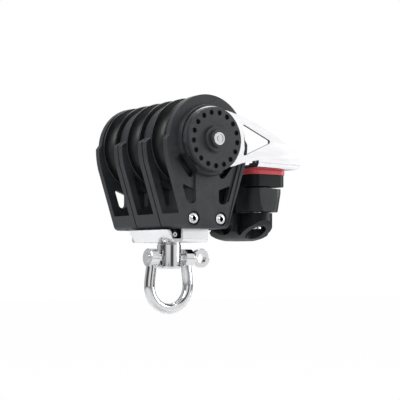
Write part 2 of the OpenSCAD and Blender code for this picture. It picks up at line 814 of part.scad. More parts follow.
// Folded strap: web below, wings at its sides, and two legs up into the feet on the rivets.
module head_strap() {
  leg_y = pitch;
  bend_r = 2;
  run = wing_top_w - wing_low_w;
  rise = strap_z - foot_z - 0.5;
  wall = strap_t * 1.16;
  color(colour_steel) lifted() difference() {
    union() {
      translate([-strap_w, -leg_y - strap_t / 2 + bend_r, -strap_z])
        cube([2 * strap_w, 2 * leg_y + strap_t - 2 * bend_r, strap_t]);
      translate([-wing_low_w, -wing_l, -strap_z]) cube([2 * wing_low_w, 2 * wing_l, strap_t]);
      for (s = [0, 1]) mirror([s, 0, 0]) translate([0, wing_l, 0]) rotate([90, 0, 0])
        linear_extrude(2 * wing_l) polygon([
          [wing_low_w - 1, -strap_z], [wing_low_w, -strap_z], [wing_low_w + run, -strap_z + rise],
          [wing_low_w + run - wall, -strap_z + rise], [wing_low_w - 1, -strap_z + strap_t]
        ]);
      for (s = [0, 1]) mirror([0, s, 0]) {
        translate([-strap_w, leg_y - strap_t / 2, -strap_z + bend_r])
          cube([2 * strap_w, strap_t, strap_z - foot_z - bend_r + 1]);
        translate([-strap_foot_w, leg_y - strap_t / 2, -foot_z + 0.6])
          cube([2 * strap_foot_w, strap_t, spacer_h - 2]);
        translate([-strap_w, leg_y + strap_t / 2 - bend_r, -strap_z + bend_r]) rotate([0, 90, 0])
          intersection() {
            cylinder(r = bend_r, h = 2 * strap_w);
            cube([bend_r, bend_r, 2 * strap_w]);
          }
      }
    }
    rivet_holes(-outer_in_y, outer_in_y, rivet_r + fit_gap);
    translate([0, 0, -strap_z - past]) cylinder(r = shank_r + run_gap, h = strap_t + 2 * past);
  }
}

// Bush above the strap that the shank turns in.
module swivel_boss() {
  color(colour_black) lifted() difference() {
    translate([0, 0, -boss_low]) cylinder(r1 = boss_r - 1.2, r2 = boss_r, h = boss_low - boss_top - 0.1);
    translate([0, 0, -boss_low - past]) cylinder(r = shank_r + run_gap, h = boss_low);
    translate([0, 0, -(boss_low + boss_top) / 2]) rotate([90, 0, 0]) cylinder(r = 1.6, h = 20);
  }
}

module lock_screw() {
  tip = shank_r + 0.3;
  color(colour_steel) lifted() translate([0, -tip, -(boss_low + boss_top) / 2]) rotate([90, 0, 0])
    difference() {
      cylinder(r = 1.55, h = boss_r - tip - 0.9);
      translate([0, 0, boss_r - tip - 1.9]) cylinder(r = 0.8, h = 2, $fn = 6);
    }
}

module swivel_washer() {
  color(colour_steel) lifted() translate([0, 0, -strap_z - 0.8])
    tube(post_r - 0.4, shank_r + run_gap, 0.75);
}

module swivel_collar() {
  color(colour_steel) lifted() translate([0, 0, -foot_z + 0.05]) tube(collar_r, shank_r - 1.5 + 0.02, collar_h);
}

// Vertical post with a shank above and a cross bore for the shackle pin.
module swivel_post() {
  color(colour_steel) lifted() difference() {
    rotate_extrude() polygon([
      [0, -post_end_z], [post_r - 1.6, -post_end_z], [post_r - 0.5, -post_end_z + 0.5],
      [post_r, -post_end_z + 1.6], [post_r, -strap_z - 1.6], [post_r - 0.8, -strap_z - 0.85],
      [shank_r, -strap_z - 0.85], [shank_r, -foot_z + 0.03], [shank_r - 1.5, -foot_z + 0.03],
      [shank_r - 1.5, -foot_z + collar_h + 0.4], [0, -foot_z + collar_h + 0.4]
    ]);
    translate([-post_r - past, 0, -pin_z]) rotate([0, 90, 0])
      cylinder(r = pin_r + run_gap, h = 2 * (post_r + past));
  }
}

// Forged bow: half round below, straight arms above and round ears for the pin.
module shackle_bow() {
  lean = atan((bow_r - ear_x) / (rod_z - pin_z));
  color(colour_steel) lifted() difference() {
    union() {
      translate([0, 0, -rod_z]) rotate([-90, 0, 0]) rotate_extrude(angle = 180)
        translate([bow_r, 0]) circle(r = rod_r);
      for (s = [0, 1]) mirror([s, 0, 0]) {
        translate([bow_r, 0, -rod_z]) sphere(r = rod_r);
        translate([bow_r, 0, -rod_z]) rotate([0, -lean, 0])
          cylinder(r = rod_r, h = (rod_z - pin_z) / cos(lean));
        translate([jaw_w, 0, -pin_z]) rotate([0, 90, 0]) cylinder(r = ear_r, h = ear_t);
      }
    }
    translate([-ear_out - past, 0, -pin_z]) rotate([0, 90, 0])
      cylinder(r = pin_r + fit_gap, h = 2 * (ear_out + past));
    for (s = [0, 1]) mirror([s, 0, 0])
      translate([ear_out, 0, -pin_z]) rotate([0, 90, 0]) cylinder(r = ear_r + 0.8, h = ear_t);
    translate([-jaw_w, -10, -pin_z - ear_r - 3]) cube([2 * jaw_w, 20, 2 * ear_r + 6]);
  }
}

module shackle_pin() {
  collar_w = pin_r + 1.4;
  collar_l = 2.4;
  eye_x = ear_out + collar_l + 0.93 * eye_ring_r;
  color(colour_steel) lifted() translate([0, 0, -pin_z]) difference() {
    union() {
      translate([-ear_out - 0.4, 0, 0]) rotate([0, 90, 0]) cylinder(r = pin_r, h = 2 * ear_out + 2);
      translate([ear_out + fit_gap, 0, 0]) rotate([0, 90, 0]) cylinder(r = collar_w, h = collar_l);
      translate([eye_x, eye_ring_t / 2, 0]) rotate([90, 0, 0]) cylinder(r = eye_ring_r, h = eye_ring_t);
    }
    translate([eye_x, eye_ring_t, 0]) rotate([90, 0, 0]) cylinder(r = eye_hole_r, h = 2 * eye_ring_t);
  }
}

front_cheek();
inner_front_cheek();
inner_back_cheek();
back_cheek();
sheave(-pitch);  // front_sheave
sheave(0);  // middle_sheave
sheave(pitch);  // back_sheave
hub(-pitch);  // front_hub
hub(0);  // middle_hub
hub(pitch);  // back_hub
balls(-pitch);  // front_balls
balls(0);  // middle_balls
balls(pitch);  // back_balls
axle();
front_disc();
back_disc();
front_spacer_outer();
front_spacer_inner();
middle_spacer();
back_spacer();
lower_rivets();
arm_washers();
cleat_arm();
cleat_riser();
cleat_base();
near_cam();
far_cam();
bush(-1);  // near_bush
bush(1);  // far_bush
cam_spring(-1);  // near_cam_spring
cam_spring(1);  // far_cam_spring
cam_bearings();
cleat_screws();
cleat_nuts();
fairlead();
head_strap();
swivel_boss();
lock_screw();
swivel_washer();
swivel_collar();
swivel_post();
shackle_bow();
shackle_pin();
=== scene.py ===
import math

import bpy
from mathutils import Matrix, Vector


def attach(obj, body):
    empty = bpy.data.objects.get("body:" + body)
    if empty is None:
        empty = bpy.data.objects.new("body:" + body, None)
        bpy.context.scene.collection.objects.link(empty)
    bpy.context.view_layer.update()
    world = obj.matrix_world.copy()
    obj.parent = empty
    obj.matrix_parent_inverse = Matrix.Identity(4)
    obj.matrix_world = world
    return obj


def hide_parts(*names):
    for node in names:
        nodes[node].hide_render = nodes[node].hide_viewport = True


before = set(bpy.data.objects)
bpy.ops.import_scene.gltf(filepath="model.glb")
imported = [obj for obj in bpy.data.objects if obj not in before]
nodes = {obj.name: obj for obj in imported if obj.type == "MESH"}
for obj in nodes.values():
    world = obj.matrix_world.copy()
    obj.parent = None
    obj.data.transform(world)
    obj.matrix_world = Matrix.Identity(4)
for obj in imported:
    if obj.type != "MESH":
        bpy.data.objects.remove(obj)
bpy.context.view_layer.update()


# The four side plates are moulded in black glass-filled nylon, with a fine eroded grain on the flat
# faces and slightly polished edges. Rails run down both sides, struts cross between the windows, and
# the two inner plates carry a groove round their edge.
class Value:
    """A number that lives in a material's nodes; arithmetic on it adds Math nodes."""

    def __init__(self, finish, socket):
        self.finish = finish
        self.socket = socket

    def maths(self, operation, *others):
        node = self.finish.add("ShaderNodeMath", {"operation": operation}, {0: self})
        for place, other in enumerate(others, 1):
            self.finish.feed(node.inputs[place], other)
        return Value(self.finish, node.outputs[0])

    def __add__(self, other):
        return self.maths("ADD", other)

    def __sub__(self, other):
        return self.maths("SUBTRACT", other)

    def __mul__(self, other):
        return self.maths("MULTIPLY", other)

    def __rsub__(self, other):
        return (self * -1.0) + other

    def __pow__(self, other):
        return self.maths("POWER", other)

    __radd__ = __add__
    __rmul__ = __mul__

    def clamped(self):
        return self.maths("MAXIMUM", 0.0).maths("MINIMUM", 1.0)


class Finish:
    """A material with one Principled shader, and short ways to add and link its nodes."""

    def __init__(self, name):
        self.material = bpy.data.materials.new(name)
        self.material.use_nodes = True
        self.tree = self.material.node_tree
        self.shader = self.tree.nodes["Principled BSDF"]
        self.place = self.add("ShaderNodeTexCoord", {}, {}).outputs["Object"]

    def feed(self, socket, value):
        if isinstance(value, Value):
            self.tree.links.new(value.socket, socket)
        elif isinstance(value, bpy.types.NodeSocket):
            self.tree.links.new(value, socket)
        else:
            socket.default_value = value

    def add(self, kind, settings, inputs):
        node = self.tree.nodes.new(kind)
        for name, value in settings.items():
            if name == "stops":
                ramp = node.color_ramp
                while len(ramp.elements) < len(value):
                    ramp.elements.new(0.5)
                for element, (position, grey) in zip(ramp.elements, value):
                    element.position = position
                    element.color = (grey, grey, grey, 1.0)
            else:
                setattr(node, name, value)
        for name, value in inputs.items():
            self.feed(node.inputs[name], value)
        return node

    def noise(self, scale, detail=3.0, stretch=None):
        place = self.place
        if stretch:
            place = self.add("ShaderNodeMapping", {}, {"Vector": place, "Scale": stretch}).outputs[0]
        node = self.add("ShaderNodeTexNoise", {}, {"Vector": place, "Scale": scale, "Detail": detail})
        return Value(self, node.outputs["Fac"])

    def spread(self, value, low, high, start=0.3, end=0.7):
        node = self.add("ShaderNodeMapRange", {}, {
            "Value": value, "From Min": start, "From Max": end, "To Min": low, "To Max": high})
        return Value(self, node.outputs["Result"])

    # Convex edges, found by pointiness, are made paler.
    def paler_convex_edges(self, start=0.52, end=0.62):
        edge = self.add("ShaderNodeNewGeometry", {}, {}).outputs["Pointiness"]
        return self.spread(Value(self, edge), 0.0, 1.0, start, end)

    def colour(self, mask, first, second):
        node = self.add("ShaderNodeMix", {"data_type": "RGBA"}, {})
        self.feed(node.inputs[0], mask)
        self.feed(node.inputs[6], (*first, 1.0))
        self.feed(node.inputs[7], (*second, 1.0))
        self.feed(self.shader.inputs["Base Color"], node.outputs[2])

    def bump(self, height, distance, strength=1.0):
        node = self.add("ShaderNodeBump", {}, {"Height": height, "Distance": distance, "Strength": strength})
        self.feed(self.shader.inputs["Normal"], node.outputs[0])

    def set(self, **values):
        for name, value in values.items():
            self.feed(self.shader.inputs[name.replace("_", " ")], value)


mould = Finish("moulded_black_grain")
grain = mould.noise(1700.0, 2.0)
cloud = mould.noise(90.0, 3.0)
mould.colour((mould.spread(cloud, 0.0, 0.5) + mould.spread(grain, 0.0, 0.5)).clamped(),
             (0.0125, 0.0145, 0.0170), (0.0370, 0.0405, 0.0450))
mould.set(Roughness=mould.spread(cloud, 0.40, 0.52) + mould.spread(grain, -0.05, 0.05),
          Specular_IOR_Level=0.32)
mould.bump(grain, 0.00009, 0.8)


def pick(*pieces):
    bpy.ops.object.select_all(action="DESELECT")
    for piece in pieces:
        piece.select_set(True)
    bpy.context.view_layer.objects.active = pieces[0]


def settle(piece, finish, body, slot, *replaced, smooth=32.0):
    """Smooths a piece, gives it its finish and lets it ride on its body in place of its CAD nodes."""
    pick(piece)
    bpy.ops.object.transform_apply(location=True, rotation=True, scale=True)
    bpy.ops.object.shade_smooth_by_angle(angle=math.radians(smooth))
    piece.modifiers.new("flat_faces", "WEIGHTED_NORMAL").keep_sharp = True
    bpy.ops.object.modifier_apply(modifier="flat_faces")
    piece.data.materials.clear()
    piece.data.materials.append(finish.material)
    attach(piece, body)
    if replaced:
        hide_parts(*replaced)
    return piece


def soften(piece, width, segments=2, angle=30.0):
    """Rounds a piece's sharp edges with an applied bevel."""
    pick(piece)
    edge = piece.modifiers.new("edge", "BEVEL")
    edge.width = width
    edge.segments = segments
    edge.limit_method = "ANGLE"
    edge.angle_limit = math.radians(angle)
    edge.miter_outer = "MITER_ARC"
    edge.harden_normals = False
    bpy.ops.object.modifier_apply(modifier="edge")


def bend(centre, radius, start, end, steps):
    """Points of an arc, from one angle to another."""
    return [(centre[0] + radius * math.cos(math.radians(start + (end - start) * i / steps)),
             centre[1] + radius * math.sin(math.radians(start + (end - start) * i / steps)))
            for i in range(steps + 1)]


def chain(name, points):
    """Extrudes one vertex from point to point, in edit mode, and leaves the last one selected."""
    bpy.ops.object.select_all(action="DESELECT")
    bpy.ops.mesh.primitive_plane_add(size=0.0001, location=points[0])
    piece = bpy.context.active_object
    piece.name = name
    bpy.ops.object.transform_apply(location=True, rotation=True, scale=True)
    bpy.ops.object.mode_set(mode="EDIT")
    bpy.ops.mesh.select_all(action="SELECT")
    bpy.ops.mesh.merge(type="CENTER")
    for here, there in zip(points, points[1:]):
        bpy.ops.mesh.extrude_region_move(TRANSFORM_OT_translate={"value": there - here})
    return piece


def plate(name, outline, near, far):
    """A flat piece between two places along Y, from an outline in X and Z about the axle, in millimetres."""
    piece = chain(name, [Vector((x, near, z + 105.0)) / 1000.0 for x, z in outline])
    bpy.ops.mesh.select_all(action="SELECT")
    bpy.ops.mesh.edge_face_add()
    bpy.ops.mesh.extrude_region_move(TRANSFORM_OT_translate={"value": (0, (far - near) / 1000.0, 0)})
    bpy.ops.mesh.select_all(action="SELECT")
    bpy.ops.mesh.normals_make_consistent(inside=False)
    bpy.ops.object.mode_set(mode="OBJECT")
    return piece


def turned(name, profile, centre, axis="Y", steps=128):
    """Spins a profile of (radius, height) points about an axis through a centre."""
    along = {"X": Vector((1, 0, 0)), "Y": Vector((0, 1, 0)), "Z": Vector((0, 0, 1))}[axis]
    out = Vector((0, 0, 1)) if axis != "Z" else Vector((1, 0, 0))
    middle = Vector(centre)
    points = [middle + out * (radius / 1000.0) + along * (height / 1000.0) for radius, height in profile]
    piece = chain(name, points)
    bpy.ops.mesh.select_all(action="SELECT")
    bpy.ops.mesh.spin(steps=steps, angle=2 * math.pi, center=middle, axis=along)
    bpy.ops.mesh.select_all(action="SELECT")
    bpy.ops.mesh.remove_doubles(threshold=0.000002)
    bpy.ops.mesh.normals_make_consistent(inside=False)
    bpy.ops.object.mode_set(mode="OBJECT")
    return piece


def rounded(corners, radii, steps=6):
    """An outline with a radius for each corner."""
    points = []
    count = len(corners)
    for i, (corner, radius) in enumerate(zip(corners, radii)):
        here = Vector(corner)
        back = (Vector(corners[i - 1]) - here).normalized()
        on = (Vector(corners[(i + 1) % count]) - here).normalized()
        half = back.angle(on) / 2.0
        middle = here + (back + on).normalized() * radius / math.sin(half)
        start = back * radius / math.tan(half) + here - middle
        turn = start.angle_signed(on * radius / math.tan(half) + here - middle)
        for k in range(steps + 1):
            points.append(tuple(middle + Matrix.Rotation(-turn * k / steps, 2) @ start))
    return points


def carve(piece, tool, operation="DIFFERENCE"):
    """Applies a boolean with a tool, which is used up."""
    pick(piece)
    cut = piece.modifiers.new("cut", "BOOLEAN")
    cut.operation = operation
    cut.solver = "EXACT"
    cut.object = tool
    bpy.ops.object.modifier_apply(modifier="cut")
    pick(tool)
    bpy.ops.object.delete()


def dressed(node, width, segments=2, angle=30.0, changes=()):
    """A merged copy of a CAD node, changed by tools, with rounded edges."""
    piece = nodes[node].copy()
    piece.data = nodes[node].data.copy()
    piece.name = node + "_finished"
    bpy.context.scene.collection.objects.link(piece)
    pick(piece)
    bpy.ops.mesh.customdata_custom_splitnormals_clear()
    bpy.ops.object.mode_set(mode="EDIT")
    bpy.ops.mesh.select_all(action="SELECT")
    bpy.ops.mesh.remove_doubles(threshold=0.000004)
    bpy.ops.mesh.dissolve_limited(angle_limit=math.radians(1.0))
    bpy.ops.object.mode_set(mode="OBJECT")
    for operation, tool in changes:
        carve(piece, tool, operation)
    soften(piece, width, segments, angle)
    return piece


def side(depth):
    """Half width of a cheek at a depth below the axle."""
    if depth < 14.5:
        return 31.3 - 1.8 * ((depth - 1.0) / 13.5) ** 2
    return 29.5 - (depth - 14.5) / 3.0


def mirrored(outline):
    return [(-x, z) for x, z in outline[::-1]]


flank_outline = [(side(depth), -depth) for depth in (1.0, 4.4, 7.8, 11.1, 14.5)] + bend((12.72, -52.2), 4.0, -18.4, -90, 8)
cheek_outline = bend((0, 0), 29.2, 176, 4, 72) + flank_outline + mirrored(flank_outline)
panel = rounded([(side(9) - 2.0, -9.0), (side(50) - 2.0, -54.4), (2.0 - side(50), -54.4), (2.0 - side(9), -9.0)],
                (1.0, 3.0, 3.0, 1.0))
strut = [(9.2, -12.0), (side(12) - 4.6, -12.0), (side(39) - 4.6, -39.0), (9.2, -39.0)]
slot_outline = rounded([(23.9, -12.2), (19.4, -8.4), (8.2, -21.3), (12.7, -25.1)], (2.8, 2.8, 2.8, 2.8))
window_outline = rounded([(18.8, -28.2), (8.8, -31.8), (8.8, -40.7), (14.6, -40.7)], (0.8, 0.8, 2.8, 2.8))
for cheek, way in (("front_cheek", -1), ("back_cheek", 1)):
    body = plate(cheek + "_moulded", cheek_outline, way * 44.35, way * 39.75)
    carve(body, plate("panel", panel, way * 45.0, way * 43.85))
    for cut in (strut, mirrored(strut)):
        carve(body, plate("strut", cut, way * 45.0, way * 42.75))
    boss = [(0.0, 46.85), (22.3, 46.85), (22.6, 46.5), (23.3, 44.2), (23.3, 40.5), (0.0, 40.5)]
    carve(body, turned("boss", [(radius, way * height) for radius, height in boss], (0, 0, 0.105)), "UNION")
    for cut in (slot_outline, mirrored(slot_outline), window_outline, mirrored(window_outline)):
        carve(body, plate("opening", cut, way * 48.0, way * 38.0))
    for place in (-0.0105, 0.0105):
        sink = [(0.0, 46.0), (4.6, 46.0), (4.6, 42.55), (2.75, 42.55), (2.75, 38.0), (0.0, 38.0)]
        carve(body, turned("sink", [(radius, way * height) for radius, height in sink], (place, 0, 0.0551), steps=48))
    carve(body, turned("bore", [(0.0, way * 48.0), (5.05, way * 48.0), (5.05, way * 38.0), (0.0, way * 38.0)],
                       (0, 0, 0.105), steps=48))
    soften(body, 0.00035)
    settle(body, mould, "frame", "moulded_black", cheek)

head_trim = ([(31.4, -0.9)] + bend((0, 0), 26.6, 5, 175, 60) + [(-31.4, -0.9), (-33.0, -0.9)]
             + bend((0, 0), 33.0, 178, 2, 40) + [(33.0, -0.9)])
for cheek, near, far in (("inner_front_cheek", -17.2, -12.8), ("inner_back_cheek", 12.8, 17.2)):
    changes = [("UNION", plate("jamb", [(s * 5.8, -30.2), (s * 8.8, -30.9), (s * 8.8, -42.4), (s * 5.8, -42.4)],
                               near, far)) for s in (-1, 1)]
    changes.append(("DIFFERENCE", plate("head_trim", head_trim, near - 5.0, far + 5.0)))
    settle(dressed(cheek, 0.00032, changes=changes), mould, "frame", "moulded_black", cheek)


# Moulded feet fill the space between the cheeks at the bottom and take the two lower rivets. They are
# of the same black nylon as the cheeks.
for foot in ("front_spacer_outer", "front_spacer_inner", "middle_spacer", "back_spacer"):
    settle(dressed(foot, 0.00018), mould, "frame", "moulded_black", foot)


# The sheaves are turned from black acetal: a deep round rope groove, a narrow land on each rim and a
# stepped side. Rope has polished the bottom of the groove.
sheave_black = Finish("sheave_black_turned")
rings = sheave_black.noise(520.0, 2.0, (1.0, 14.0, 1.0))
sheave_black.colour(sheave_black.spread(rings, 0.0, 1.0), (0.0040, 0.0045, 0.0052), (0.0080, 0.0088, 0.0098))
sheave_black.set(Roughness=sheave_black.spread(sheave_black.noise(160.0), 0.30, 0.42),
                 Specular_IOR_Level=0.35)
sheave_black.bump(rings, 0.00002, 0.25)


groove = bend((28.6, 0.0), 7.1, 268, 92, 30)
flank = [(13.85, -9.2), (22.2, -9.2), (23.2, -8.8), (24.2, -9.1)] + bend((28.35, -7.7), 0.8, -50, 60, 6)
sheave_profile = flank + groove + [(radius, -height) for radius, height in flank[::-1]] + [flank[0]]
for wheel, place in (("front", -0.030), ("middle", 0.0), ("back", 0.030)):
    sheave = turned(wheel + "_sheave_turned", sheave_profile, (0, place, 0.105), steps=160)
    settle(sheave, sheave_black, wheel + "_wheel", "sheave_black", wheel + "_sheave")


# Steel balls' place is taken by plastic ones in two rows between an inner race and each sheave. The
# races and thrust rings are dark grey acetal, hardly seen once the block is closed.
race = Finish("bearing_race_grey")
race.colour(race.spread(race.noise(300.0), 0.0, 1.0), (0.045, 0.047, 0.050), (0.070, 0.072, 0.076))
race.set(Roughness=race.spread(race.noise(900.0), 0.32, 0.44))
ball_white = Finish("ball_off_white")
ball_white.colour(ball_white.spread(ball_white.noise(400.0), 0.0, 1.0), (0.50, 0.49, 0.45), (0.60, 0.59, 0.55))
ball_white.set(Roughness=ball_white.spread(ball_white.noise(900.0), 0.16, 0.26))


def repaint(node, finish):
    """Gives a CAD node that keeps its shape its finish."""
    materials = nodes[node].data.materials
    materials.clear()
    materials.append(finish.material)


for wheel in ("front", "middle", "back"):
    repaint(wheel + "_hub", race)
    repaint(wheel + "_balls", ball_white)
repaint("cam_bearings", race)


# Polished stainless steel: the axle, whose ends show in the discs' hubs, the lower rivets, the bushes
# and screws of the cleat. A turned finish leaves faint rings.
bright = Finish("bright_turned_steel")
turning = bright.noise(900.0, 2.0)
bright.colour(bright.spread(turning, 0.0, 1.0), (0.60, 0.60, 0.61), (0.74, 0.74, 0.75))
bright.set(Metallic=1.0, Roughness=bright.spread(bright.noise(240.0), 0.10, 0.20))
bright.bump(turning, 0.00001, 0.2)

end = [(0.0, -57.0), (1.6, -57.0), (1.75, -56.5), (2.6, -56.5), (2.75, -57.0), (3.8, -57.0), (4.15, -56.7),
       (4.4, -52.7), (5.0, -52.6)]
axle = turned("axle_turned", end + [(radius, -height) for radius, height in end[::-1]], (0, 0, 0.105), steps=96)
settle(axle, bright, "frame", "bright_steel", "axle")

for side, place in (("left", -0.0105), ("right", 0.0105)):
    head = [(1.5, -44.6), (1.9, -44.05), (2.6, -43.8), (3.2, -43.9), (3.5, -43.6), (3.5, -42.6), (2.7, -42.55)]
    rivet = turned("lower_rivet_" + side, head + [(radius, -height) for radius, height in head[::-1]] + [head[0]],
                   (place, 0, 0.0551), steps=64)
    if side == "left":
        settle(rivet, bright, "frame", "bright_steel", "lower_rivets")
    else:
        settle(rivet, bright, "frame", "bright_steel")
for node in ("near_bush", "far_bush", "near_cam_spring", "far_cam_spring", "swivel_washer", "swivel_collar",
             "arm_washers"):
    repaint(node, bright)


# The index discs clamp the arm at one of seventeen settings. Each is moulded in black nylon with a
# ring of blind holes, a thin raised rim and a stepped hub round the axle's end.
disc_profile = [(5.05, 49.15), (20.5, 49.15), (20.5, 51.75), (20.3, 52.1), (19.6, 52.65), (8.4, 52.65),
                (8.4, 54.25), (7.9, 54.75), (5.7, 54.75), (5.7, 56.35), (5.4, 56.65), (4.45, 56.65),
                (4.45, 52.7), (5.05, 52.7), (5.05, 49.15)]
for disc, side in (("front_disc", -1), ("back_disc", 1)):
    body = turned(disc + "_finished", [(radius, side * height) for radius, height in disc_profile],
                  (0, 0, 0.105), steps=96)
    pins = []
    for i in range(17):
        turn = math.radians(-11.5 - 360.0 * i / 17)
        bpy.ops.mesh.primitive_cylinder_add(
            vertices=24, radius=0.0017, depth=0.0044, rotation=(math.pi / 2, 0, 0),
            location=(0.0169 * math.sin(turn), side * 0.05265, 0.105 + 0.0169 * math.cos(turn)))
        pins.append(bpy.context.active_object)
    pick(*pins)
    bpy.ops.object.join()
    carve(body, pins[0])
    settle(body, mould, "frame", "moulded_black", disc)


# The cleat's arm is one stainless sheet, laser cut, folded into a U and polished nearly to a mirror;
# the faint grain of the sheet still runs along it.
sheet = Finish("polished_sheet_steel")
brushing = sheet.noise(700.0, 3.0, (0.06, 0.06, 1.0))
smudge = sheet.noise(28.0, 2.0)
sheet.colour(sheet.spread(smudge, 0.0, 1.0), (0.80, 0.80, 0.815), (0.89, 0.89, 0.90))
sheet.set(Metallic=1.0, Roughness=sheet.spread(brushing, 0.16, 0.26))
sheet.bump(brushing, 0.000008, 0.25)
eye_trim = (bend((0, 0), 21.2, 66, 188, 60) + bend((0, 0), 20.4, 193, 303, 50) + [(16.6, -16.1), (18.0, -18.0)] + bend((0, 0), 25.0, 314, 60, 60)
            + [(12.3, 19.0), (9.4, 19.5)])
window = (bend((0, 0), 25.7, -17, 24, 14) + bend((24.9, 10.0), 1.2, 110, 62, 4) + bend((44.8, 1.4), 1.4, 66, -66, 8)
          + bend((25.3, -7.6), 1.2, -60, -110, 4))
arm = settle(dressed("cleat_arm", 0.00022, changes=[("DIFFERENCE", plate("eye_trim", eye_trim, -52.0, 52.0)),
                                                    ("DIFFERENCE", plate("window", window, -52.0, 52.0))]),
             sheet, "frame", "sheet_steel", "cleat_arm")
# The arm's cut edges in its upper part get a dark material: partly the real darker scale of a laser cut, partly
# painted shade where these edges look black.
cut_edge_scale_and_shade = Finish("laser_cut_edge_scale_and_painted_shade")
scale = cut_edge_scale_and_shade.noise(600.0, 3.0)
cut_edge_scale_and_shade.colour(cut_edge_scale_and_shade.spread(scale, 0.0, 1.0), (0.055, 0.057, 0.060), (0.11, 0.112, 0.115))
cut_edge_scale_and_shade.set(Metallic=0.6, Roughness=cut_edge_scale_and_shade.spread(scale, 0.45, 0.60))
arm.data.materials.append(cut_edge_scale_and_shade.material)
# Edge faces of the upper part take the dark material, as painted shade on the cut edges.
for face in arm.data.polygons:
    if abs(face.normal.y) < 0.6 and face.center.z > 0.0936:
        face.material_index = 1



# Under the web sit a red riser plate and the black base of the cam cleat, held by two long screws
# with black nylon nuts on top.
cleat_black = Finish("cleat_smooth_black")
skin = cleat_black.noise(1400.0, 2.0)
cleat_black.colour(cleat_black.spread(cleat_black.noise(110.0), 0.0, 1.0), (0.0045, 0.0052, 0.0062),
                   (0.0085, 0.0095, 0.0110))
cleat_black.set(Roughness=cleat_black.spread(skin, 0.36, 0.46), Specular_IOR_Level=0.17)
cleat_black.bump(skin, 0.00002, 0.4)
red = Finish("moulded_red")
# The red's convex edges are made paler by the pointiness mask.
red.colour((red.paler_convex_edges() * 0.4 + red.spread(red.noise(120.0), 0.0, 0.4)).clamped(),
           (0.60, 0.050, 0.060), (0.74, 0.105, 0.115))
red.set(Roughness=red.spread(red.noise(1500.0), 0.28, 0.40))
settle(dressed("cleat_riser", 0.0004, 3), red, "frame", "moulded_red", "cleat_riser")
settle(dressed("cleat_base", 0.0006, 3), cleat_black, "frame", "moulded_black", "cleat_base")
settle(dressed("cleat_nuts", 0.00025), cleat_black, "frame", "nut_black", "cleat_nuts")
settle(dressed("cleat_screws", 0.0002), bright, "frame", "bright_steel", "cleat_screws")


# The cams are moulded in black fibre-filled nylon. Their teeth follow a spiral, and every convex edge, the crests of
# the teeth among them, is made paler.
cam_black = Finish("cam_fibre_black")
fibre = cam_black.noise(1900.0, 3.0)
cam_black.colour((cam_black.paler_convex_edges() * 0.5 + cam_black.spread(fibre, 0.0, 0.3)).clamped(),
                 (0.0075, 0.0085, 0.0100), (0.034, 0.036, 0.039))
cam_black.set(Roughness=cam_black.spread(fibre, 0.36, 0.48), Specular_IOR_Level=0.32)
cam_black.bump(fibre, 0.00004, 0.5)
for cam, body in (("near_cam", "near_cam_body"), ("far_cam", "far_cam_body")):
    settle(dressed(cam, 0.0004), cam_black, body, "cam_black", cam)


# The fairlead under the cams guides the rope into them: a moulded saddle with a flared throat and a
# pocket round each screw head.
bowl = [(73.0, -43.0)] + bend((62.6, -52.9), 10.0, 0, -90, 14) + bend((53.4, -52.9), 10.0, -90, -180, 14) + [(43.0, -43.0)]
settle(dressed("fairlead", 0.0008, 3, changes=[("INTERSECT", plate("bowl", bowl, -35.0, 35.0))]),
       cleat_black, "frame", "moulded_black", "fairlead")


# The head strap is a folded stainless sheet with a wing along each side. A black bush and a lock
# screw sit on it, and the swivel post hangs through it.
settle(dressed("head_strap", 0.00028), sheet, "frame", "sheet_steel", "head_strap")
settle(dressed("swivel_boss", 0.0003), mould, "frame", "moulded_black", "swivel_boss")
repaint("lock_screw", bright)

mirror = Finish("electropolished_steel")
patch = mirror.noise(45.0, 2.0)
mirror.colour(mirror.spread(patch, 0.0, 1.0), (0.64, 0.64, 0.65), (0.74, 0.74, 0.745))
mirror.set(Metallic=1.0, Roughness=mirror.spread(patch, 0.07, 0.13))
mirror.bump(mirror.noise(170.0, 2.0), 0.00003, 0.15)
settle(dressed("swivel_post", 0.0005, 3), mirror, "swivel", "polished_steel", "swivel_post")


# The bow shackle is forged from round bar and electropolished. Its pin screws in and ends in a flat
# eye that a spike can turn.
path = [(x, z) for x, z in bend((0.0, 11.7), 15.2, 180, 360, 48)]
sway = [(15.2 - 1.45 * (1 - math.cos(math.pi * i / 10)) / 2, 11.7 + 1.55 * i) for i in range(1, 11)]
path = [(-x, z) for x, z in sway[::-1]] + path + sway
bow = chain("shackle_bow_forged", [Vector((x, 0.0, z)) / 1000.0 for x, z in path])
bpy.ops.object.mode_set(mode="OBJECT")
bpy.ops.object.convert(target="CURVE")
bow = bpy.context.active_object
bow.data.bevel_depth = 0.0035
bow.data.bevel_resolution = 7
bow.data.use_fill_caps = True
bpy.ops.object.convert(target="MESH")
bow = bpy.context.active_object
for side in (-1, 1):
    ear = turned("ear", [(3.06, 10.5), (5.7, 10.5), (6.1, 10.9), (6.1, 16.6), (5.7, 17.0), (3.06, 17.0), (3.06, 10.5)],
                 (0, 0, 0.0302), axis="X", steps=64)
    if side < 0:
        pick(ear)
        bpy.ops.transform.mirror(constraint_axis=(True, False, False), center_override=(0, 0, 0))
        bpy.ops.object.transform_apply(location=True, rotation=True, scale=True)
        bpy.ops.object.mode_set(mode="EDIT")
        bpy.ops.mesh.select_all(action="SELECT")
        bpy.ops.mesh.normals_make_consistent(inside=False)
        bpy.ops.object.mode_set(mode="OBJECT")
    carve(bow, ear, "UNION")
bpy.ops.object.select_all(action="DESELECT")
settle(bow, mirror, "shackle", "polished_steel", "shackle_bow")
settle(dressed("shackle_pin", 0.0005, 3), mirror, "shackle", "polished_steel", "shackle_pin")


